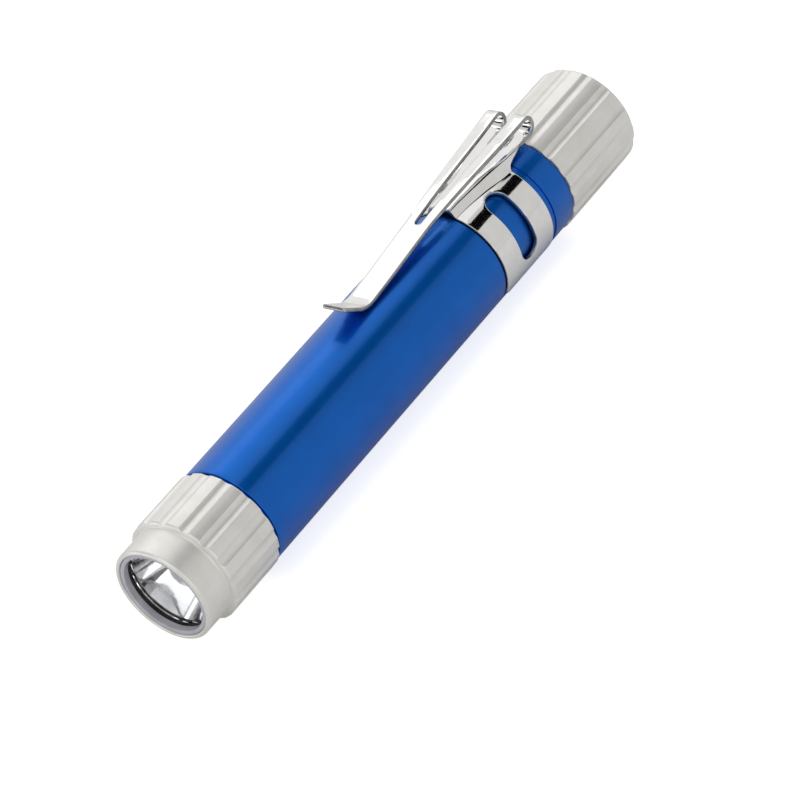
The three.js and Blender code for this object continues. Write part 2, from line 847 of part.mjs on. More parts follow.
// The strap that rises from the band, over the tail cap and into the lower half of the bend
function makeClipBand() {
  const rise = smoothLine([
    [bandFront + strapInset, strapLow],
    [bandBack - 2 * strapRise, strapLow],
    [bandBack + strapRise, (strapLow + strapHigh) / 2],
    [capFront, strapHigh],
  ], 12);
  const middle = [...rise, ...bendArc(-Math.PI / 2, -bendHalfGap)];
  const side = [[bandFront, strapFootHalf], [bandBack, strapHalf], [planEnd, armLoopHalf]];
  const plan = extrudedUp(planShape(side), planLow, planHigh);
  const strap = extrudedAcross(sheetShape(middle), strapHalf).intersect(plan);
  const footing = planShape([[bandFront + strapInset, strapFootHalf], [bandBack - strapInset, strapHalf]]);
  const web = extrudedUp(footing, planLow, strapLow)
    .subtract(rod(bandFront, bandBack, bandInner + clipSheet / 2, roundSteps));
  const slot = slotCut(bandBack + strapRise, loopSlotHalf, loopSlotHalf);
  return makeBand().add(web).add(strap.subtract(slot));
}

// The arm from the upper half of the bend down to its touch on the barrel and its lifted tip
function makeClipArm() {
  const flare = new THREE.Vector2(clipContact - clipTipLength, armLow + clipTipLift);
  const touch = smoothLine([
    [clipContact + 2, armLow + 2 * Math.tan(armSlope)],
    [clipContact, armLow],
    [clipContact - clipTipLength / 2, armLow + clipTipLift / 3],
  ], 6);
  const middle = [...bendArc(bendHalfGap, Math.PI / 2 + armSlope), ...touch, flare];
  const side = [
    [flare.x - 1, armTipHalf],
    [clipContact, armTipHalf],
    [bandFront - armSlotReach, armNeckHalf],
    [bendStation, armLoopHalf],
    [planEnd, armLoopHalf],
  ];
  const plan = extrudedUp(planShape(side), planLow, planHigh);
  const slot = slotCut(bandFront - armSlotReach, armSlotHalf, loopSlotHalf);
  return extrudedAcross(sheetShape(middle), armLoopHalf).intersect(plan).subtract(slot);
}

// Finishes

function finish(color, roughness, metalness) {
  return new THREE.MeshStandardMaterial({ color, roughness, metalness });
}

const silver = () => finish(0xd2d2ce, 0.38, 1);
const blue = () => finish(0x0b3f9c, 0.34, 0.85);
const chrome = () => finish(0xe6e6e8, 0.08, 1);
const brass = () => finish(0xc9a04a, 0.3, 1);
const steel = () => finish(0xb4b6b8, 0.3, 1);
const blackRubber = () => finish(0x101012, 0.55, 0);
const blackPlastic = () => finish(0x1b1b1d, 0.5, 0);
const whitePlastic = () => finish(0xe8e6df, 0.55, 0);
const clear = () => new THREE.MeshStandardMaterial(
  { color: 0xf2f6f8, roughness: 0.05, metalness: 0, transparent: true, opacity: 0.35 });

// The penlight

const penlight = new THREE.Group();
penlight.position.set(-buttonTop / 2, 0, axisHeight);

function addPiece(name, solid, material, y = 0) {
  const mesh = new THREE.Mesh(toGeometry(solid), material);
  mesh.name = name;
  mesh.position.y = y;
  penlight.add(mesh);
}

addPiece('barrel', makeBarrel(), blue());
addPiece('clip_band', makeClipBand(), chrome());
addPiece('clip_arm', makeClipArm(), chrome());
addPiece('head_seal_ring', makeSealRing(headShoulder - sealSeat / 2), blackRubber());
addPiece('tail_seal_ring', makeSealRing(tailShoulder + sealSeat / 2), blackRubber());

addPiece('bezel', makeBezel(), silver());
addPiece('lens', makeLens(), clear());
addPiece('lens_seal', tube(sealFront, sealFront + lensSealThickness, lensRadius - lensSealWidth, lensRadius),
  blackRubber());
addPiece('reflector', makeReflector(), chrome());

addPiece('led_emitter', makeLed(), clear());
addPiece('led_lead_positive', leadBox(ledBase + fitGap / 2, boardFront - fitGap / 2, leadSize, 1), steel());
addPiece('led_lead_negative', leadBox(ledBase + fitGap / 2, boardFront - fitGap / 2, leadSize, -1), steel());
addPiece('led_carrier', makeCarrier(), whitePlastic());
addPiece('driver_board', rod(boardFront, boardBack, carrierInner - fitGap), finish(0x1d6b3a, 0.5, 0));
addPiece('driver_inductor', makeInductor(), finish(0x2a2a2c, 0.6, 0.2), partOffset);
addPiece('driver_chip', toSolid(new THREE.BoxGeometry(chipHeight, chipWidth, chipLength)
  .translate(boardBack + fitGap + chipHeight / 2, -partOffset, 0)), blackPlastic());
addPiece('driver_ground_ring', tube(boardFront + fitGap / 2, boardFront + fitGap / 2 + groundRingWidth,
  groundGroove + fitGap / 2, groundGroove + fitGap / 2 + groundRingThickness, smallSteps), brass());
addPiece('contact_insulator', tube(carrierBack - insulatorThickness, carrierBack,
  contactStemRadius + fitGap, carrierInner - fitGap, smallSteps), blackPlastic());
addPiece('positive_contact', makePositiveContact(), brass());
addPiece('battery_cell', makeCell(), finish(0x3b3f45, 0.4, 0.6));

addPiece('tail_cap', makeTailCap(), silver());
addPiece('retaining_ring', tube(retainingFront, retainingFront + retainingRingThickness,
  sleeveRadius + fitGap, cavityRadius - fitGap, smallSteps), brass());
addPiece('switch_housing', makeSwitchHousing(), blackPlastic());
addPiece('fixed_contact', makeFixedContact(), brass());
addPiece('tail_spring', coil(tailSpringFront, tailSpringBack, tailSpringSmallRadius, tailSpringLargeRadius,
  tailSpringTurns, tailSpringWire), steel());
addPiece('switch_spring', coil(housingFront + switchEndWall + fitGap, collarFront - fitGap,
  switchSpringRadius, switchSpringRadius, switchSpringTurns, switchSpringWire), steel());
addPiece('moving_contact', rod(movingContactFront, movingContactFront + movingContactThickness,
  switchSpringRadius - switchSpringWire - pressGap), brass());
addPiece('switch_plunger', makePlunger(), whitePlastic());
addPiece('button_boot', makeButton(), blackRubber());

export default penlight;
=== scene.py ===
"""A pocket flashlight: satin silver bezel and tail cap, blue barrel, chrome clip and rubber button.

Shapes are worked out in millimetres along the axis, with stations counted from the front rim and angles
counted from the clip towards the camera. finish_mesh places them in the frame's metres.
"""
import json
import math

import bmesh
import bpy
import numpy as np
from mathutils import Matrix, Vector
from mathutils.geometry import delaunay_2d_cdt


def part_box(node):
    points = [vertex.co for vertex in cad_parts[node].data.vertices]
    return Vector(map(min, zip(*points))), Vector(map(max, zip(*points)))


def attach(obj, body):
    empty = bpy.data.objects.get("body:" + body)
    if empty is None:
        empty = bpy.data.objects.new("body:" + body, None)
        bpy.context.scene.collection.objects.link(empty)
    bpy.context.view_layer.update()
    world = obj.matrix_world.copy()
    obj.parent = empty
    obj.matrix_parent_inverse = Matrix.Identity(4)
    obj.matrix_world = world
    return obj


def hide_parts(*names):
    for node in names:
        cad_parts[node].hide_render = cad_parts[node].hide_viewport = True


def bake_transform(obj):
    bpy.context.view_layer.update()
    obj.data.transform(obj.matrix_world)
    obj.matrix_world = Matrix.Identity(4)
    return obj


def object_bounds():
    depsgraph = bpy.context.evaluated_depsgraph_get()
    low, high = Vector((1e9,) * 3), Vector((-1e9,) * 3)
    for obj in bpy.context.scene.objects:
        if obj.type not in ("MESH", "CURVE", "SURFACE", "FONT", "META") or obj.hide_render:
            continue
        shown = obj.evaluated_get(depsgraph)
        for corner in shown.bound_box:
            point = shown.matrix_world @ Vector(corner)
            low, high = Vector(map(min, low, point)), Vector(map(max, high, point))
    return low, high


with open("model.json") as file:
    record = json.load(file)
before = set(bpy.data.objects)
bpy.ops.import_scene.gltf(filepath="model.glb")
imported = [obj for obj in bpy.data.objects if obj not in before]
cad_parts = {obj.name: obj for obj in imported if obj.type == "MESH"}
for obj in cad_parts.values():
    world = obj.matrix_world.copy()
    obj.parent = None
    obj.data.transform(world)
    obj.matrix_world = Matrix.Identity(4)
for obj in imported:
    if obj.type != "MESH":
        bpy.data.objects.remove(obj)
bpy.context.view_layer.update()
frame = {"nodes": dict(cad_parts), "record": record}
MM = 0.001
TURN = 2 * math.pi

# Where the axis lies in the frame
FRONT_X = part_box("bezel")[0].x
AXIS_Z = (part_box("barrel")[0].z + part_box("barrel")[1].z) / 2


def span(node):
    """A CAD node's first and last station."""
    low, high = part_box(node)
    return (low.x - FRONT_X) / MM, (high.x - FRONT_X) / MM


def outer_radius(node):
    low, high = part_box(node)
    return (high.y - low.y) / 2 / MM


# Stations
BARREL_FRONT, BARREL_BACK = span("barrel")
BEZEL_BACK = span("bezel")[1]
CAP_FRONT, CAP_BACK = span("tail_cap")
LENS_FRONT, LENS_BACK = span("lens")
CUP_FRONT, CUP_BACK = span("reflector")
LED_TIP, LED_BASE = span("led_emitter")
BUTTON_FRONT, BUTTON_TOP = span("button_boot")
BAND_FRONT, CLIP_APEX = span("clip_band")
SEAM_GAP = 0.15
HEAD_SHOULDER = BEZEL_BACK + SEAM_GAP
TAIL_SHOULDER = CAP_FRONT - SEAM_GAP

# Radii, and lengths of small features
RIDGE = 7.35
RIDGE_LIMIT = RIDGE + 0.12
FLUTES = 16
FLUTE_DEPTH = 0.25
FLUTE_BLEND = 0.1
FLUTE_TURN = math.radians(-1.7)
GROOVE_SHARE = 0.48
GROOVE_EDGE = 0.02
FLUTE_END = 0.4
SEAM_EDGE, SEAM_DROP = 0.22, 0.26
BARREL_RADIUS = 7.15
BORE_RADIUS = 5.35
SPIGOT_CORE = 5.6
THREAD_ROOT = 5.75
THREAD_CREST = 6.25
THREAD_PITCH = 1.2
THREAD_LEAD = 2.4
SKIRT_RADIUS, SKIRT, THREAD_BORE = 6.55, 1.2, 6.0
SEAL_SEAT = 0.9
SEAM_ROUNDING = 0.12
SEAM_GROOVE = 0.2
SEAM_FLOOR = 6.75
RING_RADIUS = 6.6
RING_LENGTH = 4.2
LENS_RADIUS = outer_radius("lens")

# Clip
SHEET = 0.55
HALF_SHEET = SHEET / 2
BAND_WIDTH = 10.55
BAND_BACK = BAND_FRONT + BAND_WIDTH
BAND_PROUD = 0.1
BAND_OUTER = outer_radius("clip_band") + BAND_PROUD
BAND_MIDDLE = BAND_OUTER - HALF_SHEET
SEAT_RADIUS = 6.62
SEAT_FRONT = BAND_FRONT - 0.22
SEAT_BACK = BAND_BACK + 1.0
SEAT_RUN_OUT = BARREL_RADIUS - 0.14
BAND_WRAP = math.radians(126)
SEAT_WRAP = BAND_WRAP + 0.1

# Mesh helpers

MERGE_DISTANCE, SLIVER = 0.0005, 0.0002
SHARP_DEGREES = 32
ROUND = 96


def finish_mesh(name, points, faces, material, sharp_degrees, edge_faces=(), edge_material=None):
    """An object from points in millimetres about the axis, and faces.

    Edges sharper than an angle stay crisp, and the edge faces take a material of their own, which on the
    clip is a darker metal for painted shade.
    """
    mesh = bpy.data.meshes.new(name)
    placed = [(FRONT_X + s * MM, y * MM, AXIS_Z + z * MM) for s, y, z in points]
    mesh.from_pydata(placed, [], faces)
    mesh.materials.append(material)
    if edge_material:
        mesh.materials.append(edge_material)
    for i in edge_faces:
        mesh.polygons[i].material_index = 1
    bm = bmesh.new()
    bm.from_mesh(mesh)
    bmesh.ops.remove_doubles(bm, verts=bm.verts, dist=MERGE_DISTANCE * MM)
    bmesh.ops.dissolve_degenerate(bm, edges=bm.edges, dist=SLIVER * MM)
    bmesh.ops.recalc_face_normals(bm, faces=bm.faces)
    limit = math.radians(sharp_degrees)
    for face in bm.faces:
        face.smooth = True
    for edge in bm.edges:
        edge.smooth = not (edge.is_manifold and edge.calc_face_angle() > limit)
    bm.to_mesh(mesh)
    bm.free()
    piece = bpy.data.objects.new(name, mesh)
    bpy.context.scene.collection.objects.link(piece)
    return piece


def add_piece(name, shape, slot, body, nodes=(), finish=None):
    """A piece of points and faces that rides on a body, in its slot's finish unless another is named."""
    piece = finish_mesh(name, *shape, FINISHES[finish or slot], SHARP_DEGREES)
    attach(piece, body)
    if nodes:
        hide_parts(*nodes)


def angles_with(count, extra=()):
    """Even angles all round, with some extra ones among them."""
    even = np.arange(count) / count * TURN - math.pi
    return np.array(sorted({*even.tolist(), *extra}))


def revolved(rings, angles, closed=True):
    """Points and faces of rings about the axis.

    A ring is (station, radius), and each is a number or has one value per angle.
    """
    points = []
    for station, radius in rings:
        stations = np.broadcast_to(station, angles.shape)
        radii = np.broadcast_to(radius, angles.shape)
        points.extend(zip(stations, -radii * np.sin(angles), radii * np.cos(angles)))
    count, columns = len(rings), len(angles)
    faces = []
    for i in range(count if closed else count - 1):
        for j in range(columns):
            here, after = i * columns, ((i + 1) % count) * columns
            right = (j + 1) % columns
            faces.append((here + j, here + right, after + right, after + j))
    return points, faces


def arc(centre, radius, start_degrees, end_degrees, steps=6):
    """Points on an arc in a plane, from one angle to another."""
    points = []
    for i in range(steps + 1):
        lean = math.radians(start_degrees + (end_degrees - start_degrees) * i / steps)
        points.append((centre[0] + radius * math.cos(lean), centre[1] + radius * math.sin(lean)))
    return points


def smooth_step(x):
    x = np.clip(x, 0, 1)
    return x * x * (3 - 2 * x)


def soft_minimum(a, b, width):
    """The smaller of two values, with the corner between them rounded over a width."""
    h = np.clip(0.5 + 0.5 * (b - a) / width, 0, 1)
    return b * (1 - h) + a * h - width * h * (1 - h)


# Materials

NOISE_LOW, NOISE_HIGH = 0.3, 0.7


def new_material(name):
    material = bpy.data.materials.new(name)
    material.use_nodes = True
    tree = material.node_tree
    shader = tree.nodes["Principled BSDF"]
    place = tree.nodes.new("ShaderNodeTexCoord")
    return material, tree, shader, place.outputs["Object"]


def noise(tree, place, per_mm, detail, stretch=(1, 1, 1)):
    """Noise with about so many features to a millimetre, drawn out along each axis by stretch."""
    mapping = tree.nodes.new("ShaderNodeMapping")
    mapping.inputs["Scale"].default_value = [per_mm / MM / k for k in stretch]
    tree.links.new(place, mapping.inputs["Vector"])
    texture = tree.nodes.new("ShaderNodeTexNoise")
    texture.inputs["Scale"].default_value = 1.0
    texture.inputs["Detail"].default_value = detail
    tree.links.new(mapping.outputs["Vector"], texture.inputs["Vector"])
    return texture.outputs["Fac"]


def vary(tree, value, low, high, socket):
    """Lets a noise drive a socket between two values."""
    spread = tree.nodes.new("ShaderNodeMapRange")
    spread.inputs["From Min"].default_value = NOISE_LOW
    spread.inputs["From Max"].default_value = NOISE_HIGH
    spread.inputs["To Min"].default_value = low
    spread.inputs["To Max"].default_value = high
    tree.links.new(value, spread.inputs["Value"])
    tree.links.new(spread.outputs["Result"], socket)


def tint(tree, value, dark, light, socket):
    """Lets a noise drive a colour between two shades."""
    ramp = tree.nodes.new("ShaderNodeValToRGB")
    ramp.color_ramp.elements[0].position = NOISE_LOW
    ramp.color_ramp.elements[0].color = (*dark, 1)
    ramp.color_ramp.elements[1].position = NOISE_HIGH
    ramp.color_ramp.elements[1].color = (*light, 1)
    tree.links.new(value, ramp.inputs["Fac"])
    tree.links.new(ramp.outputs["Color"], socket)


def bump(tree, shader, value, height_mm, strength):
    node = tree.nodes.new("ShaderNodeBump")
    node.inputs["Strength"].default_value = strength
    node.inputs["Distance"].default_value = height_mm * MM
    tree.links.new(value, node.inputs["Height"])
    tree.links.new(node.outputs["Normal"], shader.inputs["Normal"])


def blue_anodised():
    """Dyed oxide over brushed aluminium: deep blue metal under a thin clear layer."""
    material, tree, shader, place = new_material("blue_anodised")
    shader.inputs["Metallic"].default_value = 0.95
    shader.inputs["Coat Weight"].default_value = 0.3
    shader.inputs["Coat Roughness"].default_value = 0.1
    shader.inputs["Coat IOR"].default_value = 1.55
    cloud = noise(tree, place, 0.25, 2)
    tint(tree, cloud, (0.0, 0.125, 0.56), (0.0, 0.138, 0.61), shader.inputs["Base Color"])
    turning = noise(tree, place, 6, 2, stretch=(0.25, 6, 6))
    vary(tree, turning, 0.33, 0.41, shader.inputs["Roughness"])
    bump(tree, shader, turning, 0.0012, 0.4)
    return material


def satin_aluminium():
    """Blasted and clear anodised aluminium: fine grain, soft sheen."""
    material, tree, shader, place = new_material("satin_aluminium")
    shader.inputs["Metallic"].default_value = 0.85
    cloud = noise(tree, place, 0.4, 3)
    tint(tree, cloud, (0.82, 0.815, 0.79), (0.88, 0.878, 0.86), shader.inputs["Base Color"])
    grain = noise(tree, place, 9, 3)
    vary(tree, grain, 0.38, 0.48, shader.inputs["Roughness"])
    bump(tree, shader, grain, 0.006, 0.5)
    return material


def clip_chrome():
    """Bright plate over a stamped sheet, which is never quite flat."""
    material, tree, shader, place = new_material("clip_chrome")
    shader.inputs["Metallic"].default_value = 1.0
    cloud = noise(tree, place, 0.6, 2)
    tint(tree, cloud, (0.86, 0.86, 0.86), (0.92, 0.92, 0.92), shader.inputs["Base Color"])
    haze = noise(tree, place, 2.5, 3)
    vary(tree, haze, 0.05, 0.1, shader.inputs["Roughness"])
    waves = noise(tree, place, 0.7, 1)
    bump(tree, shader, waves, 0.02, 0.25)
    return material


def clear_lens():
    material, tree, shader, place = new_material("clear_lens")
    shader.inputs["Base Color"].default_value = (0.97, 0.98, 1.0, 1)
    shader.inputs["Transmission Weight"].default_value = 1.0
    shader.inputs["IOR"].default_value = 1.49
    haze = noise(tree, place, 1.5, 3)
    vary(tree, haze, 0.0, 0.03, shader.inputs["Roughness"])
    return material


def led_resin():
    material, tree, shader, place = new_material("led_resin")
    shader.inputs["Base Color"].default_value = (0.96, 0.96, 0.93, 1)
    shader.inputs["Transmission Weight"].default_value = 0.55
    shader.inputs["IOR"].default_value = 1.54
    haze = noise(tree, place, 2, 3)
    vary(tree, haze, 0.02, 0.07, shader.inputs["Roughness"])
    return material


def reflector_mirror():
    material, tree, shader, place = new_material("reflector_mirror")
    shader.inputs["Metallic"].default_value = 1.0
    cloud = noise(tree, place, 0.8, 2)
    tint(tree, cloud, (0.93, 0.93, 0.94), (0.97, 0.97, 0.97), shader.inputs["Base Color"])
    haze = noise(tree, place, 3, 3)
    vary(tree, haze, 0.04, 0.09, shader.inputs["Roughness"])
    waves = noise(tree, place, 0.9, 1)
    bump(tree, shader, waves, 0.02, 0.25)
    return material


def moulded(name, dark, light, rough_low, rough_high, grain_per_mm=6, height_mm=0.006):
    """Moulded rubber or plastic with a fine matt skin."""
    material, tree, shader, place = new_material(name)
    cloud = noise(tree, place, 0.5, 3)
    tint(tree, cloud, dark, light, shader.inputs["Base Color"])
    grain = noise(tree, place, grain_per_mm, 3)
    vary(tree, grain, rough_low, rough_high, shader.inputs["Roughness"])
    bump(tree, shader, grain, height_mm, 0.5)
    return material


def metal(name, dark, light, rough_low, rough_high):
    """Bare metal with drawn or turned marks; on the clip's edges it is a darker metal for painted shade."""
    material, tree, shader, place = new_material(name)
    shader.inputs["Metallic"].default_value = 1.0
    cloud = noise(tree, place, 0.8, 3)
    tint(tree, cloud, dark, light, shader.inputs["Base Color"])
    marks = noise(tree, place, 5, 2, stretch=(0.3, 4, 4))
    vary(tree, marks, rough_low, rough_high, shader.inputs["Roughness"])
    bump(tree, shader, marks, 0.002, 0.4)
    return material


FINISHES = {
    "blue_anodised": blue_anodised(),
    "satin_aluminium": satin_aluminium(),
    "clip_chrome": clip_chrome(),
    # painted shade: a dark grey metal for the clip's rounded edges, in place of the dark reflections they
    # show
    "painted_shade_edge": metal("painted_shade_edge", (0.3, 0.3, 0.305), (0.46, 0.46, 0.465), 0.2, 0.34),
    "clear_lens": clear_lens(),
    "lens_edge": moulded("lens_edge", (0.46, 0.46, 0.53), (0.56, 0.56, 0.63), 0.12, 0.2, 3, 0.002),
    "led_resin": led_resin(),
    "reflector_mirror": reflector_mirror(),
    "black_rubber": moulded("black_rubber", (0.010, 0.010, 0.011), (0.020, 0.020, 0.021), 0.42, 0.58),
    "black_plastic": moulded("black_plastic", (0.018, 0.018, 0.019), (0.03, 0.03, 0.031), 0.4, 0.55),
    "white_plastic": moulded("white_plastic", (0.78, 0.77, 0.72), (0.86, 0.85, 0.81), 0.4, 0.55),
    "board_green": moulded("board_green", (0.012, 0.13, 0.04), (0.02, 0.19, 0.06), 0.3, 0.45),
    "ferrite": moulded("ferrite", (0.03, 0.03, 0.033), (0.06, 0.06, 0.062), 0.6, 0.8),
    "cell_jacket": moulded("cell_jacket", (0.05, 0.055, 0.06), (0.09, 0.1, 0.11), 0.25, 0.35),
    "bright_steel": metal("bright_steel", (0.56, 0.57, 0.58), (0.68, 0.69, 0.7), 0.2, 0.35),
    "contact_brass": metal("contact_brass", (0.66, 0.46, 0.18), (0.78, 0.57, 0.25), 0.2, 0.35),
}


def dress_cad_nodes():
    """The CAD nodes that stay in view take the finish of their slot."""
    for row in frame["record"]["subparts"]:
        mesh = frame["nodes"][row["node"]].data
        mesh.materials.clear()
        mesh.materials.append(FINISHES[row["material_slot"]])


# Barrel


def thread_radius(station, angles, origin, front, back):
    """The screw's radius at a station, with both ends of its ridge led in by a cone."""
    share = ((station - origin) / THREAD_PITCH - (angles + math.pi / 2) / TURN) % 1.0
    root, crest = THREAD_ROOT, THREAD_CREST
    quarters = np.linspace(0, 1, 5)
    ridge = np.interp(share, quarters, [root, crest, crest, root, root])
    lead = root + THREAD_LEAD * min(station - front, back - station)
    return np.minimum(ridge, lead)


def thread_rings(angles, origin, front, back):
    """Rings of a screw between two stations, with a step down to the core at each end."""
    step = 0.1
    count = round((back - front) / step)
    stations = [front + (back - front) * i / count for i in range(count + 1)]
    rings = [(front, SPIGOT_CORE)]
    rings += [(s, thread_radius(s, angles, origin, front, back)) for s in stations]
    return rings + [(back, SPIGOT_CORE)]


def make_barrel():
    wall, columns = 0.004, 144
    plain_start = HEAD_SHOULDER + 1
    seat_end, run_out_start = BAND_BACK + 0.06, BAND_BACK + 0.12
    seat_sides = [side * (SEAT_WRAP + lean) for side in (-1, 1) for lean in (-wall, wall)]
    angles = angles_with(columns, seat_sides)
    in_seat = np.abs(angles) < SEAT_WRAP
    seat = np.where(in_seat, SEAT_RADIUS, BARREL_RADIUS)
    run_out = np.where(in_seat, SEAT_RUN_OUT, BARREL_RADIUS)
    lead = 0.18
    edge = SEAM_ROUNDING
    full = BARREL_RADIUS
    head_edge = HEAD_SHOULDER + SEAM_GROOVE
    rings = [(BARREL_FRONT, BORE_RADIUS), (BARREL_FRONT, SPIGOT_CORE)]
    rings += thread_rings(angles, HEAD_SHOULDER, BARREL_FRONT + lead, HEAD_SHOULDER - SEAL_SEAT)
    rings += [(HEAD_SHOULDER, SPIGOT_CORE), (HEAD_SHOULDER, SEAM_FLOOR), (head_edge, SEAM_FLOOR)]
    rings += arc((head_edge + edge, full - edge), edge, 180, 90, 4)
    rings += [(s, full) for s in np.linspace(plain_start, SEAT_FRONT - wall, 24)]
    rings += [(s, seat) for s in np.linspace(SEAT_FRONT + wall, seat_end, 8)]
    rings += [(run_out_start, run_out), (SEAT_BACK - wall, run_out), (SEAT_BACK + wall, full)]
    rings += arc((TAIL_SHOULDER - edge, full - edge), edge, 90, 0, 4)
    rings += [(TAIL_SHOULDER, SPIGOT_CORE)]
    rings += thread_rings(angles, TAIL_SHOULDER, TAIL_SHOULDER + SEAL_SEAT, BARREL_BACK - lead)
    rings += [(BARREL_BACK, SPIGOT_CORE), (BARREL_BACK, BORE_RADIUS)]
    add_piece("barrel_tube", revolved(rings, angles), "blue_anodised", "barrel", ["barrel"])


def make_seal_ring(name, node, body):
    front, back = span(node)
    section = (back - front) / 2
    middle = outer_radius(node) - section
    sides = 16
    rings = arc(((front + back) / 2, middle), section, 0, 360 - 360 / sides, sides - 1)
    add_piece(name, revolved(rings, angles_with(ROUND)), "black_rubber", body, [node])


# Bezel and tail cap


def flute_angles():
    """Angles all round, close together over each groove and at its two edges."""
    half = GROOVE_SHARE / 2
    groove_steps, land_steps = 9, 5
    groove = np.linspace(-half, half, groove_steps)
    land = np.linspace(half + GROOVE_EDGE, 1 - half - GROOVE_EDGE, land_steps)
    shares = [*groove, *land]
    angles = [(flute + share) / FLUTES * TURN for flute in range(FLUTES) for share in shares]
    return np.array(angles) - math.pi + FLUTE_TURN


FLUTE_ANGLES = flute_angles()


def fluted(station, envelope):
    """A ring of round grooves between broad lands, one by the clip, cut off at the envelope's radius."""
    off_middle = np.abs(((FLUTE_ANGLES - FLUTE_TURN) / TURN * FLUTES + 0.5) % 1.0 - 0.5)
    groove = np.clip(1 - (2 * off_middle / GROOVE_SHARE) ** 2, 0, 1)
    limit = np.full(FLUTE_ANGLES.shape, envelope)
    return station, soft_minimum(RIDGE - FLUTE_DEPTH * groove, limit, FLUTE_BLEND)


def make_bezel():
    lip_radius, lip_front, lip_back = 5.58, 0.5, 0.9
    mouth, recess, recess_front = 6.12, 6.0, 0.16
    bevel, bevel_front = 0.07, 0.02
    pocket_radius = 5.95
    pocket_back = BARREL_FRONT - 0.1
    rounding = 0.42
    step_fillet, fillet_rise = 0.22, 0.6
    shoulder, settle = 0.6, 0.3
    rings = [(lip_back, lip_radius), (lip_front, lip_radius), (lip_front, recess)]
    rings += [(recess_front, recess), (bevel, mouth - bevel), (bevel_front, mouth - bevel_front)]
    rings += arc((rounding, RING_RADIUS - rounding), rounding, 180, 90, 8)
    rings += [(RING_LENGTH - step_fillet, RING_RADIUS)]
    for lean in np.radians([22.5, 45, 67.5, 90]):
        station = RING_LENGTH - step_fillet * (1 - math.sin(lean))
        rings.append((station, RING_RADIUS + step_fillet * (1 - math.cos(lean)) * fillet_rise))
    start = rings[-1][1]
    reach = RIDGE_LIMIT - start
    for lean in np.radians(np.linspace(11.25, 90, 8)):
        rings.append(fluted(RING_LENGTH + shoulder * (1 - math.cos(lean)), start + reach * math.sin(lean)))
    flutes_front = RING_LENGTH + shoulder + settle
    rings += [fluted(s, RIDGE_LIMIT) for s in np.linspace(flutes_front, BEZEL_BACK - FLUTE_END, 8)]
    for lean in np.radians([30, 60, 90]):
        station = BEZEL_BACK - SEAM_EDGE * (1 - math.sin(lean))
        rings.append(fluted(station, RIDGE_LIMIT - SEAM_DROP * (1 - math.cos(lean))))
    skirt_front = BEZEL_BACK - SKIRT
    rings += [(BEZEL_BACK, SKIRT_RADIUS), (skirt_front, SKIRT_RADIUS), (skirt_front, THREAD_BORE)]
    rings += [(pocket_back, THREAD_BORE), (pocket_back, pocket_radius), (lip_back, pocket_radius)]
    add_piece("bezel_shell", revolved(rings, FLUTE_ANGLES), "satin_aluminium", "bezel", ["bezel"])


def make_tail_cap():
    chamber, hole, hole_bevel, bevel_middle = 5.5, 4.9, 0.25, 0.07
    chamber_front, wall_front = CAP_BACK - 4.35, CAP_BACK - 1.8
    end_edge, end_drop, settle = 0.9, 0.85, 0.3
    skirt_back = CAP_FRONT + SKIRT
    rings = [(skirt_back, THREAD_BORE), (skirt_back, SKIRT_RADIUS), (CAP_FRONT, SKIRT_RADIUS)]
    for lean in np.radians([0, 30, 60]):
        station = CAP_FRONT + SEAM_EDGE * (1 - math.cos(lean))
        rings.append(fluted(station, RIDGE_LIMIT - SEAM_DROP * (1 - math.sin(lean))))
    flutes = np.linspace(CAP_FRONT + FLUTE_END, CAP_BACK - end_edge - settle, 10)
    rings += [fluted(s, RIDGE_LIMIT) for s in flutes]
    for lean in np.radians(range(0, 91, 10)):
        station = CAP_BACK - end_edge * (1 - math.sin(lean))
        rings.append(fluted(station, RIDGE_LIMIT - end_drop * (1 - math.cos(lean))))
    rings += [(CAP_BACK, hole + hole_bevel), (CAP_BACK - bevel_middle, hole + bevel_middle)]
    rings += [(CAP_BACK - hole_bevel, hole), (wall_front, hole)]
    rings += [(wall_front, chamber), (chamber_front, chamber), (chamber_front, THREAD_BORE)]
    add_piece("tail_cap_shell", revolved(rings, FLUTE_ANGLES), "satin_aluminium", "tail_cap", ["tail_cap"])


def make_button():
    radius, flange, wall = 4.7, outer_radius("button_boot"), 1.1
    crown, fullness, hollow = 1.7, 0.9, 2.4
    flange_back = BUTTON_FRONT + 0.9
    crown_front = BUTTON_TOP - crown
    side_back = crown_front - 0.5
    rings = [(BUTTON_FRONT, radius - wall), (BUTTON_FRONT, flange)]
    rings += [(flange_back, flange), (flange_back, radius), (side_back, radius)]
    for lean in np.radians(range(0, 90, 6)):
        rings.append((crown_front + crown * math.sin(lean), radius * math.cos(lean) ** fullness))
    rings += [(BUTTON_TOP, 0.0), (BUTTON_TOP - wall, 0.0), (BUTTON_TOP - wall, hollow)]
    rings += [(side_back, radius - wall)]
    add_piece("push_button", revolved(rings, angles_with(ROUND)), "black_rubber", "button", ["button_boot"])


def make_switch_spring():
    """The coil behind the plunger, built in one fixed shape."""
    turns, wire, steps, sides = 6, 0.2, 20, 10
    sharp_degrees = 60
    front, back = span("switch_spring")
    middle = outer_radius("switch_spring") - wire
    count = turns * steps
    points = []
    for i in range(count + 1):
        station = front + wire + (back - front - 2 * wire) * i / count
        angle = TURN * i / steps
        for lean in np.arange(sides) / sides * TURN:
            radius = middle + wire * math.cos(lean)
            across = radius * math.cos(angle), radius * math.sin(angle)
            points.append((station + wire * math.sin(lean), *across))
    faces = [tuple(range(sides)), tuple(count * sides + k for k in reversed(range(sides)))]
    for i in range(count):
        for k in range(sides):
            after = (k + 1) % sides
            here, beyond = i * sides, (i + 1) * sides
            faces.append((here + k, beyond + k, beyond + after, here + after))
    spring = finish_mesh("button_spring", points, faces, FINISHES["bright_steel"], sharp_degrees)
    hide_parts("switch_spring")
    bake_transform(spring)


# Optics


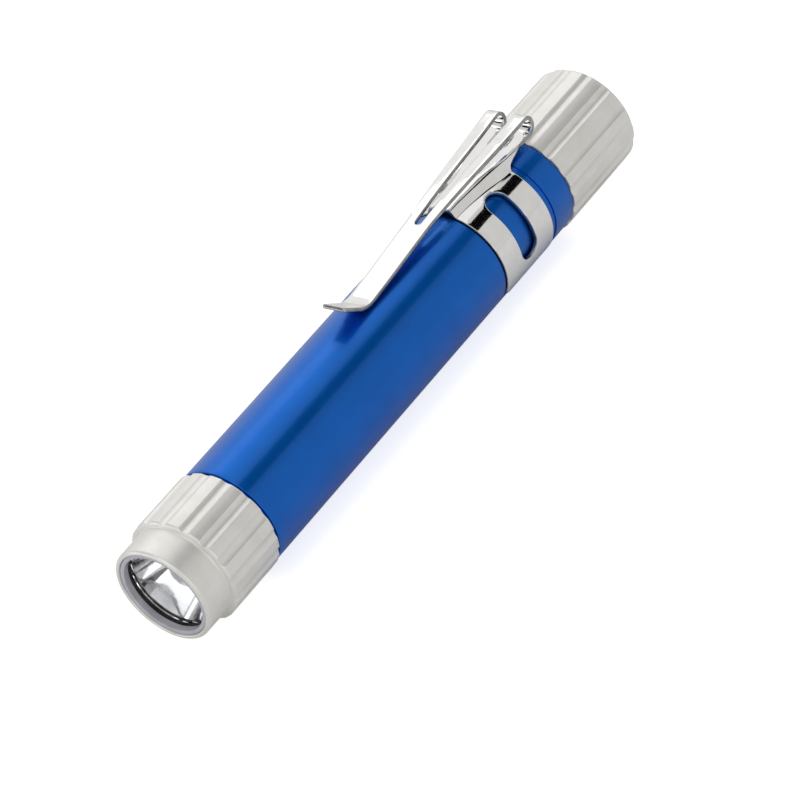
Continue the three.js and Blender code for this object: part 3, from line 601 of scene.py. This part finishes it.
def make_lens():
    edge = 0.2
    rings = [(LENS_FRONT, 0.0), (LENS_FRONT, LENS_RADIUS - edge)]
    rings += [(LENS_FRONT + edge, LENS_RADIUS), (LENS_BACK - edge, LENS_RADIUS)]
    rings += [(LENS_BACK, LENS_RADIUS - edge), (LENS_BACK, 0.0)]
    disc = revolved(rings, angles_with(ROUND), closed=False)
    add_piece("lens_disc", disc, "clear_lens", "bezel", ["lens"])


def make_lens_collar():
    """A pale ring pressed into the bezel's mouth before the lens."""
    front, back, edge = 0.22, 1.05, 0.12
    inner, outer = 5.42, 5.97
    seat, sleeve = 0.48, 5.55
    rings = [(back, inner), (front + edge, inner)]
    rings += arc((front + edge, inner + edge), edge, 270, 180, 4)
    rings += arc((front + edge, outer - edge), edge, 180, 90, 4)
    rings += [(seat, outer), (seat, sleeve), (back, sleeve)]
    ring = revolved(rings, angles_with(ROUND))
    add_piece("lens_collar", ring, "clear_lens", "bezel", finish="lens_edge")


def make_lens_seal():
    front, back = span("lens_seal")
    width = 0.36
    outer = outer_radius("lens_seal")
    inner = outer - width
    rings = [(front, inner), (front, outer), (back, outer), (back, inner)]
    ring = revolved(rings, angles_with(ROUND))
    add_piece("lens_gasket", ring, "black_rubber", "bezel", ["lens_seal"])


def make_reflector():
    """A thin cup of parabolic section, with a skirt round it."""
    mouth, hole, wall, columns = 5.6, 2.75, 0.15, 128
    skirt_back = CUP_FRONT + 4.6
    skirt_root = CUP_FRONT + 1.0
    back_start = CUP_FRONT + 0.8
    skirt_inner = LENS_RADIUS - wall
    depth = CUP_BACK - CUP_FRONT
    cup = []
    for share in np.linspace(1, 0, 25):
        cup.append((CUP_FRONT + share * depth, math.sqrt(mouth**2 + share * (hole**2 - mouth**2))))
    back = [(station, radius + wall) for station, radius in reversed(cup) if station > back_start]
    rim = [(CUP_FRONT, LENS_RADIUS), (skirt_back, LENS_RADIUS)]
    rim += [(skirt_back, skirt_inner), (skirt_root, skirt_inner)]
    shell = revolved(cup + rim + back, angles_with(columns))
    add_piece("reflector_cup", shell, "reflector_mirror", "bezel", ["reflector"])


def make_led():
    radius, flange, flange_length, columns = 2.5, outer_radius("led_emitter"), 1.0, 64
    flange_front = LED_BASE - flange_length
    rings = []
    for lean in np.radians(range(0, 91, 6)):
        rings.append((LED_TIP + radius * (1 - math.cos(lean)), radius * math.sin(lean)))
    rings += [(flange_front, radius), (flange_front, flange), (LED_BASE, flange), (LED_BASE, 0.0)]
    dome = revolved(rings, angles_with(columns), closed=False)
    add_piece("led_lens", dome, "led_resin", "barrel", ["led_emitter"])


# Clip: one sheet, laid out flat with u across it and v along it, and then wrapped and bent

STRAP_TOP_FRONT, STRAP_TOP_BACK = 1.15, 2.75
FLARE_START, FLARE_LENGTH = 5.6, 6.6
STRAP_FOOT_FRONT, STRAP_FOOT_BACK = 2.25, 3.35
LOOP_HALF = 3.05
WALL_FADE = 3.5
WALL_SPACING = 0.1
STRAP_CLEARANCE = 0.25
STRAP_HIGH = RIDGE + STRAP_CLEARANCE + HALF_SHEET
BEND_RADIUS = 1.18
BEND_STATION = CLIP_APEX - BEND_RADIUS - HALF_SHEET
BEND_HEIGHT = STRAP_HIGH + BEND_RADIUS
CONTACT_REACH, CONTACT_CLEARANCE = 18.35, 0.12
CONTACT = BAND_FRONT - CONTACT_REACH
CONTACT_HEIGHT = BARREL_RADIUS + CONTACT_CLEARANCE + HALF_SHEET
ARM_SLOPE = math.atan2(BEND_HEIGHT + BEND_RADIUS - CONTACT_HEIGHT, BEND_STATION - CONTACT)
BEND_LENGTH = BEND_RADIUS * (math.pi + ARM_SLOPE)
ARM_START = BEND_STATION + BEND_LENGTH
ARM_LENGTH = (BEND_STATION - CONTACT) / math.cos(ARM_SLOPE)
TOUCH = ARM_START + ARM_LENGTH
TIP_LENGTH = 4.3
TIP_END = TOUCH + TIP_LENGTH
TIP_ANGLE = math.radians(37)
TOUCH_BEND = 1.4
ARM_BOW = 0.38
ARM_TAPER = 20
ARM_HALF, TOUCH_HALF, TIP_HALF = 1.84, 1.78, 1.72
SPACING, BEND_SPACING = 0.42, 0.2


def strap_top(v):
    """Half the width of the strap's flat top: narrow over the band, then flared towards the loop."""
    flare = smooth_step((v - BAND_FRONT - FLARE_START) / FLARE_LENGTH)
    return STRAP_TOP_FRONT + flare * (STRAP_TOP_BACK - STRAP_TOP_FRONT)


def strap_foot(v):
    """Half the strap's width where its sides come down to the band."""
    flare = smooth_step((v - BAND_FRONT) / BAND_WIDTH)
    return STRAP_FOOT_FRONT + flare * (STRAP_FOOT_BACK - STRAP_FOOT_FRONT)


def arm_half(v):
    """Half the width of the loop and of the arm, which tapers to its tip."""
    stations = [BEND_STATION, ARM_START, ARM_START + ARM_TAPER, TOUCH, TIP_END]
    return np.interp(v, stations, [LOOP_HALF, LOOP_HALF, ARM_HALF, TOUCH_HALF, TIP_HALF])


def path_point(v):
    """Station and height of the sheet's middle at a length along the strap, bend and arm."""
    if v <= BEND_STATION:
        return v, STRAP_HIGH
    if v <= ARM_START:
        lean = -math.pi / 2 + (v - BEND_STATION) / BEND_RADIUS
        return BEND_STATION + BEND_RADIUS * math.cos(lean), BEND_HEIGHT + BEND_RADIUS * math.sin(lean)
    start = path_point(ARM_START)
    straight = min(v, TOUCH - TOUCH_BEND) - ARM_START
    x = start[0] - straight * math.cos(ARM_SLOPE)
    z = start[1] - straight * math.sin(ARM_SLOPE)
    z += ARM_BOW * math.sin(math.pi * straight / (TOUCH - TOUCH_BEND - ARM_START)) ** 2
    bend = max(0.0, min(v, TOUCH + TOUCH_BEND) - (TOUCH - TOUCH_BEND))
    turn_rate = (ARM_SLOPE + TIP_ANGLE) / (2 * TOUCH_BEND)
    steps = 8
    for i in range(steps):
        lean = -ARM_SLOPE + turn_rate * bend * (i + 0.5) / steps
        x -= bend / steps * math.cos(lean)
        z += bend / steps * math.sin(lean)
    tip = max(0.0, v - (TOUCH + TOUCH_BEND))
    return x - tip * math.cos(TIP_ANGLE), z + tip * math.sin(TIP_ANGLE)


def sheet_point(u, v):
    """The sheet's middle: a raised strap, and sides that come down from it to the band."""
    x, z = path_point(v)
    if v > BEND_STATION:
        return np.array([x, u, z])
    down = float(np.clip((abs(u) - strap_top(v)) / (strap_foot(v) - strap_top(v)), 0, 1))
    share = 2 * down**2 if down < 0.5 else 1 - 2 * (1 - down) ** 2
    share *= 1 - float(smooth_step((v - BAND_BACK) / WALL_FADE))
    lean = u / BAND_MIDDLE
    wrapped = np.array([v, BAND_MIDDLE * math.sin(lean), BAND_MIDDLE * math.cos(lean)])
    return (1 - share) * np.array([x, u, z]) + share * wrapped


def sheet_normal(u, v):
    step = 0.02
    along = sheet_point(u, v + step) - sheet_point(u, v - step)
    across = sheet_point(u + step, v) - sheet_point(u - step, v)
    normal = np.cross(along, across)
    return normal / np.linalg.norm(normal)


def spaced(points, spacing):
    """Points along a line of corners, no further apart than spacing."""
    result = []
    for (u0, v0), (u1, v1) in zip(points, points[1:]):
        count = max(1, math.ceil(math.hypot(u1 - u0, v1 - v0) / spacing))
        result += [(u0 + (u1 - u0) * i / count, v0 + (v1 - v0) * i / count) for i in range(count)]
    return result + [points[-1]]


def bend_stations():
    """Lengths along the path, closer together in the bends."""
    margin = 0.5
    tight = (BEND_STATION - margin, ARM_START + margin)
    touch = (TOUCH - TOUCH_BEND, TOUCH + TOUCH_BEND)
    stations = [BAND_FRONT]
    while stations[-1] < TIP_END:
        v = stations[-1]
        close = tight[0] < v < tight[1] or touch[0] < v < touch[1]
        stations.append(v + (BEND_SPACING if close else SPACING))
    return stations


def clip_outline():
    """The flat outline, from the middle of the band's head edge round one side to the tip, and back."""
    reach = BAND_WRAP * BAND_MIDDLE
    corner, fillet, tip_corner = 1.0, 0.5, 0.35
    after_fillet, before_tip = 0.15, 0.1
    stops = [0, STRAP_TOP_FRONT - WALL_SPACING, STRAP_FOOT_FRONT + WALL_SPACING, reach - corner]
    side = [(0, BAND_FRONT)]
    for start, end, spacing in zip(stops, stops[1:], (SPACING, WALL_SPACING, SPACING)):
        side += spaced([(start, BAND_FRONT), (end, BAND_FRONT)], spacing)[1:]
    side += arc((reach - corner, BAND_FRONT + corner), corner, -90, 0)[1:]
    side += spaced([(reach, BAND_FRONT + corner), (reach, BAND_BACK - corner)], SPACING)[1:]
    side += arc((reach - corner, BAND_BACK - corner), corner, 0, 90)[1:]
    side += spaced([(reach - corner, BAND_BACK), (LOOP_HALF + fillet, BAND_BACK)], SPACING)[1:]
    side += arc((LOOP_HALF + fillet, BAND_BACK + fillet), fillet, 270, 180)[1:]
    for v in bend_stations():
        if BAND_BACK + fillet + after_fillet < v < TIP_END - tip_corner - before_tip:
            side.append((float(arm_half(v)), v))
    tip = float(arm_half(TIP_END))
    side += arc((tip - tip_corner, TIP_END - tip_corner), tip_corner, 0, 90)
    side += spaced([(tip - tip_corner, TIP_END), (0, TIP_END)], SPACING)[1:]
    return side + [(-u, v) for u, v in reversed(side[1:-1])]


def band_slot(sign):
    """A stadium in the band, on one side of the strap."""
    near_degrees, far_degrees, half, steps = 26, 106, 1.65, 14
    near = math.radians(near_degrees) * BAND_MIDDLE + half
    far = math.radians(far_degrees) * BAND_MIDDLE - half
    middle = BAND_FRONT + BAND_WIDTH / 2
    loop = arc((far, middle), half, -90, 90, steps)
    loop += spaced([(far, middle + half), (near, middle + half)], SPACING)[1:-1]
    loop += arc((near, middle), half, 90, 270, steps)
    loop += spaced([(near, middle - half), (far, middle - half)], SPACING)[1:-1]
    return [(sign * u, v) for u, v in loop]


def arm_slot():
    """The long slot from the strap, round the bend and down the arm to a narrow round end."""
    wide, narrow, margin = 1.1, 0.45, 0.1
    start = BAND_BACK + 1.7
    end = ARM_START + 20.4
    side = arc((0, start + wide), wide, -90, 0, 8)
    for v in bend_stations():
        if start + wide + margin < v < end - narrow - margin:
            side.append((float(np.interp(v, [start, ARM_START, end], [wide, wide, narrow])), v))
    side += arc((0, end - narrow), narrow, 0, 90, 6)
    return side + [(-u, v) for u, v in reversed(side[1:-1])]


def inset(loop, distance):
    """A closed loop moved to its left by a distance."""
    least_mitre = 0.5
    points = np.array(loop)
    before = points - np.roll(points, 1, axis=0)
    after = np.roll(points, -1, axis=0) - points
    before /= np.linalg.norm(before, axis=1)[:, None]
    after /= np.linalg.norm(after, axis=1)[:, None]
    heading = before + after
    heading /= np.linalg.norm(heading, axis=1)[:, None]
    left = np.stack([-heading[:, 1], heading[:, 0]], axis=1)
    mitre = np.maximum(np.sum(heading * before, axis=1), least_mitre)
    return points + left * (distance / mitre)[:, None]


def signed_area(loop):
    points = np.array(loop)
    following = np.roll(points, -1, axis=0)
    return 0.5 * float(np.sum(points[:, 0] * following[:, 1] - points[:, 1] * following[:, 0]))


def inside(points, loop):
    """Which of the points lie in a closed loop."""
    u, v = points.T
    found = np.zeros(len(points), dtype=bool)
    for (u0, v0), (u1, v1) in zip(loop, np.roll(loop, -1, axis=0)):
        if v0 != v1:
            crosses = (v0 > v) != (v1 > v)
            found ^= crosses & (u < (u1 - u0) * (v - v0) / (v1 - v0) + u0)
    return found


def clear_of(points, loops, distance):
    """Which of the points keep a distance from every point of the loops."""
    clear = np.ones(len(points), dtype=bool)
    for loop in loops:
        for corner in loop:
            clear &= np.hypot(points[:, 0] - corner[0], points[:, 1] - corner[1]) > distance
    return clear


def by_wall(points):
    """Which of the points lie on the strap's sides."""
    u, v = points.T
    beyond_top = np.abs(u) > strap_top(v) - 2 * WALL_SPACING
    before_foot = np.abs(u) < strap_foot(v) + 2 * WALL_SPACING
    return (v < BEND_STATION) & beyond_top & before_foot


def wall_points():
    """Points on lines that run along the strap's sides."""
    shares = np.linspace(0, 1, 13)
    stations = np.arange(BAND_FRONT, BEND_STATION, 2 * WALL_SPACING)
    return np.array([(side * (strap_top(v) + share * (strap_foot(v) - strap_top(v))), v)
                     for v in stations for share in shares for side in (-1, 1)])


def flat_triangles(loops):
    """Points and triangles that fill the first loop but not the others, closer together in the bends.

    The last list tells which of the points given became each point.
    """
    inside_only, tolerance = 1, 1e-6
    outer, holes = loops[0], loops[1:]
    points = [tuple(point) for loop in loops for point in loop]
    edges = []
    first = 0
    for loop in loops:
        count = len(loop)
        edges += [(first + i, first + (i + 1) % count) for i in range(count)]
        first += count
    reach = BAND_WRAP * BAND_MIDDLE
    across = np.arange(-math.floor(reach / SPACING), math.floor(reach / SPACING) + 1) * SPACING
    grid = np.array([(u, v) for v in bend_stations() for u in across])
    grid = np.concatenate([grid[~by_wall(grid)], wall_points()])
    grid = grid[inside(grid, outer)]
    for hole in holes:
        grid = grid[~inside(grid, hole)]
    points += [tuple(point) for point in grid[clear_of(grid, loops, 0.5 * BEND_SPACING)]]
    vectors = [Vector(point) for point in points]
    filled = delaunay_2d_cdt(vectors, edges, [], inside_only, tolerance)
    places = np.array([tuple(point) for point in filled[0]])
    triangles = np.array(filled[2])
    middles = places[triangles].mean(axis=1)
    for hole in holes:
        outside = ~inside(middles, hole)
        triangles, middles = triangles[outside], middles[outside]
    return places.tolist(), triangles.tolist(), filled[3]


def clip_loops():
    """The outline of the sheet, and its slots, which run the other way round."""
    loops = [clip_outline(), band_slot(1), band_slot(-1), arm_slot()]
    for i, loop in enumerate(loops):
        if (signed_area(loop) > 0) != (i == 0):
            loops[i] = loop[::-1]
    return loops


def clip_shape():
    """Points and faces of the sheet's two sides and the rounded edges between them.

    The last list has the numbers of the faces on the cut edges, which take a painted shade.
    """
    rounding = 0.14
    outlines = clip_loops()
    flat, triangles, origins = flat_triangles([inset(loop, rounding) for loop in outlines])
    index_of = {source: i for i, sources in enumerate(origins) for source in sources}
    points = []

    def lift(uv, height):
        base = sheet_point(*uv) + height * sheet_normal(*uv)
        points.append(tuple(base))
        return len(points) - 1

    top = [lift(uv, HALF_SHEET) for uv in flat]
    bottom = [lift(uv, -HALF_SHEET) for uv in flat]
    faces = [tuple(top[i] for i in face) for face in triangles]
    faces += [tuple(bottom[i] for i in reversed(face)) for face in triangles]
    first = 0
    edge_faces = []
    leans = [math.radians(a) for a in (30, 60, 90)]
    for outline in outlines:
        count = len(outline)
        rows = [[top[index_of[first + i]] for i in range(count)]]
        for side in (1, -1):
            for lean in leans if side > 0 else leans[::-1]:
                place = inset(outline, rounding * (1 - math.sin(lean)))
                height = side * (HALF_SHEET - rounding * (1 - math.cos(lean)))
                rows.append([lift(uv, height) for uv in place])
        rows.append([bottom[index_of[first + i]] for i in range(count)])
        for k, (above, below) in enumerate(zip(rows, rows[1:])):
            if 0 < k < len(rows) - 2:
                edge_faces += range(len(faces), len(faces) + count)
            for i in range(count):
                after = (i + 1) % count
                faces.append((above[i], above[after], below[after], below[i]))
        first += count
    return points, faces, edge_faces


def make_clip():
    sharp_degrees, flex_depth = 50, 0.5
    points, faces, edge_faces = clip_shape()
    # The clip's edge faces take the darker metal: painted shade along its edges.
    chrome, painted_shade = FINISHES["clip_chrome"], FINISHES["painted_shade_edge"]
    clip = finish_mesh("pocket_clip", points, faces, chrome, sharp_degrees, edge_faces, painted_shade)
    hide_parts("clip_band", "clip_arm")
    station, height = path_point(ARM_START)
    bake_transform(clip)


# Stage


def aim(thing, target):
    thing.rotation_euler = (Vector(target) - thing.location).to_track_quat("-Z", "Y").to_euler()


def add_softbox(name, location, target, width, height, power):
    data = bpy.data.lights.new(name, "AREA")
    data.shape = "RECTANGLE"
    data.size = width
    data.size_y = height
    data.energy = power
    lamp = bpy.data.objects.new(name, data)
    lamp.location = location
    lamp.visible_camera = False
    bpy.context.scene.collection.objects.link(lamp)
    aim(lamp, target)


def floor_material():
    """White paper: what the camera sees is lifted to white, and the shadow stays."""
    material, tree, shader, _ = new_material("white_floor")
    shader.inputs["Base Color"].default_value = (0.85, 0.85, 0.85, 1)
    shader.inputs["Roughness"].default_value = 0.9
    shader.inputs["Specular IOR Level"].default_value = 0.0
    seen, mirrored = 0.72, 0.04
    lifts = {"Is Camera Ray": seen, "Is Transmission Ray": seen, "Is Glossy Ray": mirrored}
    path = tree.nodes.new("ShaderNodeLightPath")
    shares = []
    for ray, strength in lifts.items():
        share = tree.nodes.new("ShaderNodeMath")
        share.operation = "MULTIPLY"
        share.inputs[1].default_value = strength
        tree.links.new(path.outputs[ray], share.inputs[0])
        shares.append(share.outputs[0])
    lift = shares[0]
    for share in shares[1:]:
        larger = tree.nodes.new("ShaderNodeMath")
        larger.operation = "MAXIMUM"
        tree.links.new(lift, larger.inputs[0])
        tree.links.new(share, larger.inputs[1])
        lift = larger.outputs[0]
    shader.inputs["Emission Color"].default_value = (1, 1, 1, 1)
    tree.links.new(lift, shader.inputs["Emission Strength"])
    return material


def make_floor():
    reach = 3.0
    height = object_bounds()[0].z
    corners = [(-reach, -reach, height), (reach, -reach, height)]
    corners += [(reach, reach, height), (-reach, reach, height)]
    mesh = bpy.data.meshes.new("floor")
    mesh.from_pydata(corners, [], [(0, 1, 2, 3)])
    mesh.materials.append(floor_material())
    floor = bpy.data.objects.new("floor", mesh)
    bpy.context.scene.collection.objects.link(floor)


def add_flag(name, location, target, width, height, along_barrel=False):
    """A black card that keeps the light off one part of the reflections."""
    material, _, shader, _ = new_material(name)
    shader.inputs["Base Color"].default_value = (0.004, 0.004, 0.005, 1)
    shader.inputs["Roughness"].default_value = 1.0
    shader.inputs["Specular IOR Level"].default_value = 0.0
    mesh = bpy.data.meshes.new(name)
    corners = [(-width / 2, -height / 2, 0), (width / 2, -height / 2, 0)]
    corners += [(width / 2, height / 2, 0), (-width / 2, height / 2, 0)]
    mesh.from_pydata(corners, [], [(0, 1, 2, 3)])
    mesh.materials.append(material)
    flag = bpy.data.objects.new(name, mesh)
    flag.location = location
    flag.visible_camera = False
    bpy.context.scene.collection.objects.link(flag)
    if along_barrel:
        aim(flag, (location[0], target[1], target[2]))
    else:
        aim(flag, target)


def make_lights():
    """Soft boxes as (name, place, width, height, power) in metres and watts, cards and an even light."""
    target = (0, 0, AXIS_Z)
    softboxes = [
        ("overhead", (0.3, 0.235, 0.51), 0.7, 0.95, 0.52),
        ("key", (0.27, 0.27, 0.4), 0.6, 0.14, 0.16),
        ("back", (0.3, 0.66, 0.12), 0.8, 0.2, 0.12),
        ("mouth_top", (-0.5, 0.0, 0.46), 0.3, 0.25, 0.36),
        ("mouth_left", (-0.47, 0.42, 0.11), 0.25, 0.25, 0.3),
        ("mouth_right", (-0.37, -0.52, 0.23), 0.2, 0.2, 0.15),
        ("front_fill", (-0.25, -0.6, 0.14), 0.6, 0.12, 0.12),
    ]
    for name, place, width, height, power in softboxes:
        add_softbox(name, place, target, width, height, power)
    add_flag("black_card", (0.28, -0.181, 0.363), target, 0.5, 0.145, along_barrel=True)
    add_flag("mouth_card_left", (-0.36, 0.28, 0.31), target, 0.16, 0.3)
    add_flag("mouth_card_right", (-0.36, -0.26, 0.37), target, 0.1, 0.2)
    world = bpy.data.worlds.new("studio")
    world.use_nodes = True
    background = world.node_tree.nodes["Background"]
    background.inputs["Color"].default_value = (1, 0.985, 0.955, 1)
    background.inputs["Strength"].default_value = 0.64
    bpy.context.scene.world = world


def make_camera():
    """A long lens above the head, rolled so that the barrel runs up to the right.

    Its place and aim are in millimetres from the middle of the front rim.
    """
    place = Vector((-225.868, -286.734, 281.049))
    aim_at = Vector((37.609, -8.202, 0.0))
    roll, view_angle = math.radians(-19.8546), math.radians(11.2668)
    data = bpy.data.cameras.new("camera")
    data.sensor_fit = "HORIZONTAL"
    data.angle = view_angle
    data.clip_start = 0.01
    camera = bpy.data.objects.new("camera", data)
    bpy.context.scene.collection.objects.link(camera)
    forward = (aim_at - place).normalized()
    level = forward.cross(Vector((0, 0, 1))).normalized()
    above = level.cross(forward)
    right = math.cos(roll) * level + math.sin(roll) * above
    up = right.cross(forward)
    turned = Matrix((right, up, -forward)).transposed().to_4x4()
    shift = Vector((FRONT_X, 0, AXIS_Z))
    camera.matrix_world = Matrix.Translation(place * MM + shift) @ turned
    bpy.context.scene.camera = camera


def main():
    bpy.context.scene.view_settings.view_transform = "Standard"
    dress_cad_nodes()
    make_barrel()
    make_seal_ring("head_o_ring", "head_seal_ring", "head_seal")
    make_seal_ring("tail_o_ring", "tail_seal_ring", "tail_seal")
    make_bezel()
    make_tail_cap()
    make_button()
    make_switch_spring()
    make_lens()
    make_lens_collar()
    make_lens_seal()
    make_reflector()
    make_led()
    make_clip()
    make_floor()
    make_lights()
    make_camera()


main()
